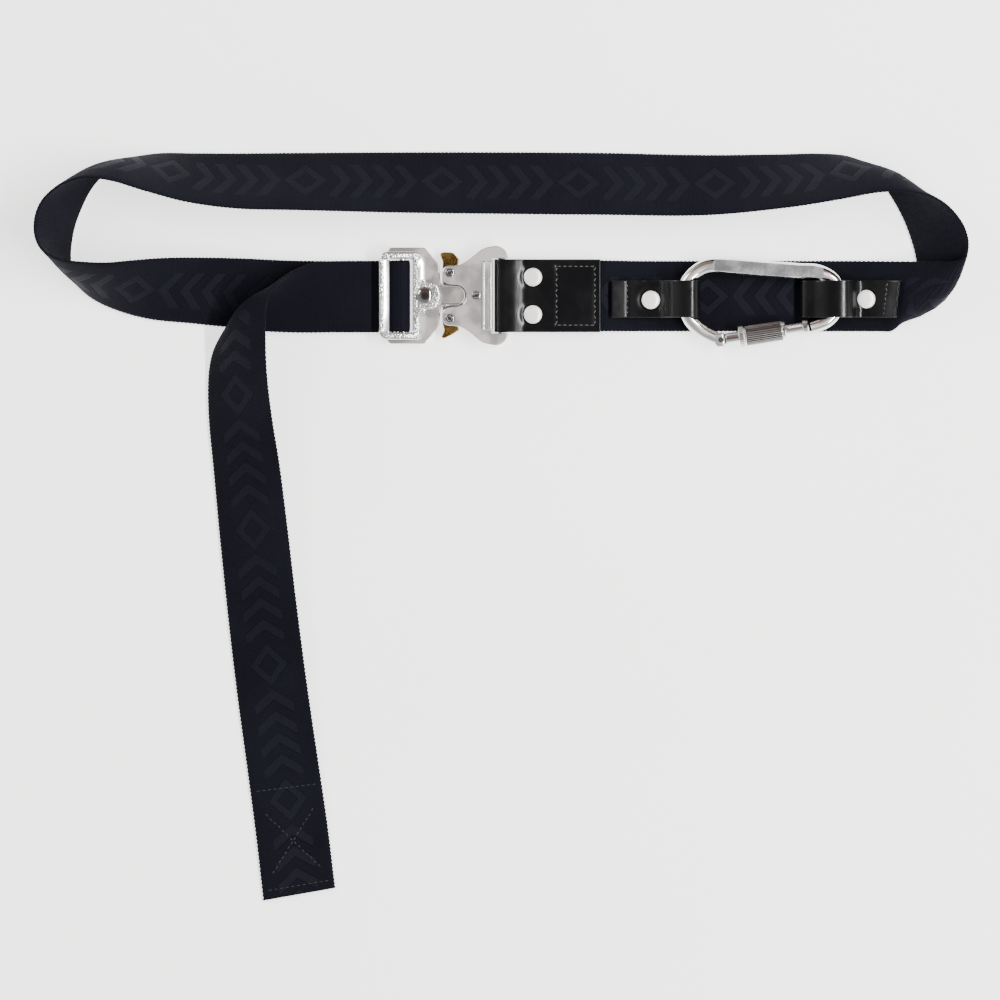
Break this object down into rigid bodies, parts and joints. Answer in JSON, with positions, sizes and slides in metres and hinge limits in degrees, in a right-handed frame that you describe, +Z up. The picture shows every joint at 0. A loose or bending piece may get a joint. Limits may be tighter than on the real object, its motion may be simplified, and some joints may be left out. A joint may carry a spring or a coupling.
{
  "type": "tactical belt",
  "caption": "Webbing waist belt lying open in a loop, with a lever-release metal buckle, leather tab and strips, a screw-gate carabiner and a free stitched tail.",
  "frame": {"origin": "middle of the belt's footprint, on the surface it lies on", "axes": "+X along the front run from the buckle towards the carabiner, +Y across the open loop from the front run to the back run, +Z up from the surface"},
  "size_m": [0.4928, 0.3956, 0.0374],
  "materials": {
    "webbing_black": "ribbed woven webbing, near-black navy, matt",
    "black_leather": "glossy black leather with sewn edges",
    "cast_silver": "bright cast metal, slightly rough",
    "satin_nickel": "satin warm-grey plating",
    "brass": "worn brass",
    "chrome": "bright plated",
    "polished_aluminium": "polished"
  },
  "bodies": {
    "root": {"webbing_loop": "webbing_black", "webbing_tail": "webbing_black", "leather_tab": "black_leather", "loop_strip_left": "black_leather", "loop_strip_right": "black_leather", "adjuster_frame": "cast_silver", "male_plate": "satin_nickel", "female_bottom": "satin_nickel", "female_top": "satin_nickel", "screw_upper": "chrome", "screw_lower": "chrome", "screw_middle": "chrome", "frame_rivet": "chrome", "tab_rivet_upper": "chrome", "tab_rivet_lower": "chrome", "loop_rivet_left": "chrome", "loop_rivet_right": "chrome", "carabiner_body": "polished_aluminium", "carabiner_gate": "polished_aluminium", "gate_pin": "chrome"},
    "sleeve": {"gate_sleeve": "polished_aluminium"},
    "upper_lever": {"lever_upper": "brass"},
    "lower_lever": {"lever_lower": "brass"}
  },
  "joints": [
    {"name": "sleeve_slide", "type": "slide", "parent": "root", "child": "sleeve", "axis": [0.9882, 0.153, 0], "range_m": [0, 0.0084]},
    {"name": "upper_lever_squeeze", "type": "hinge", "parent": "root", "child": "upper_lever", "pos_m": [-0.02719, 0.13366, 0.00457], "axis": [0, 0, 1], "range_deg": [0, 5], "stiffness_Nm_per_rad": 0.02},
    {"name": "lower_lever_squeeze", "type": "hinge", "parent": "root", "child": "lower_lever", "pos_m": [-0.02719, 0.10966, 0.00457], "axis": [0, 0, 1], "range_deg": [-5, 0], "stiffness_Nm_per_rad": 0.02}
  ]
}
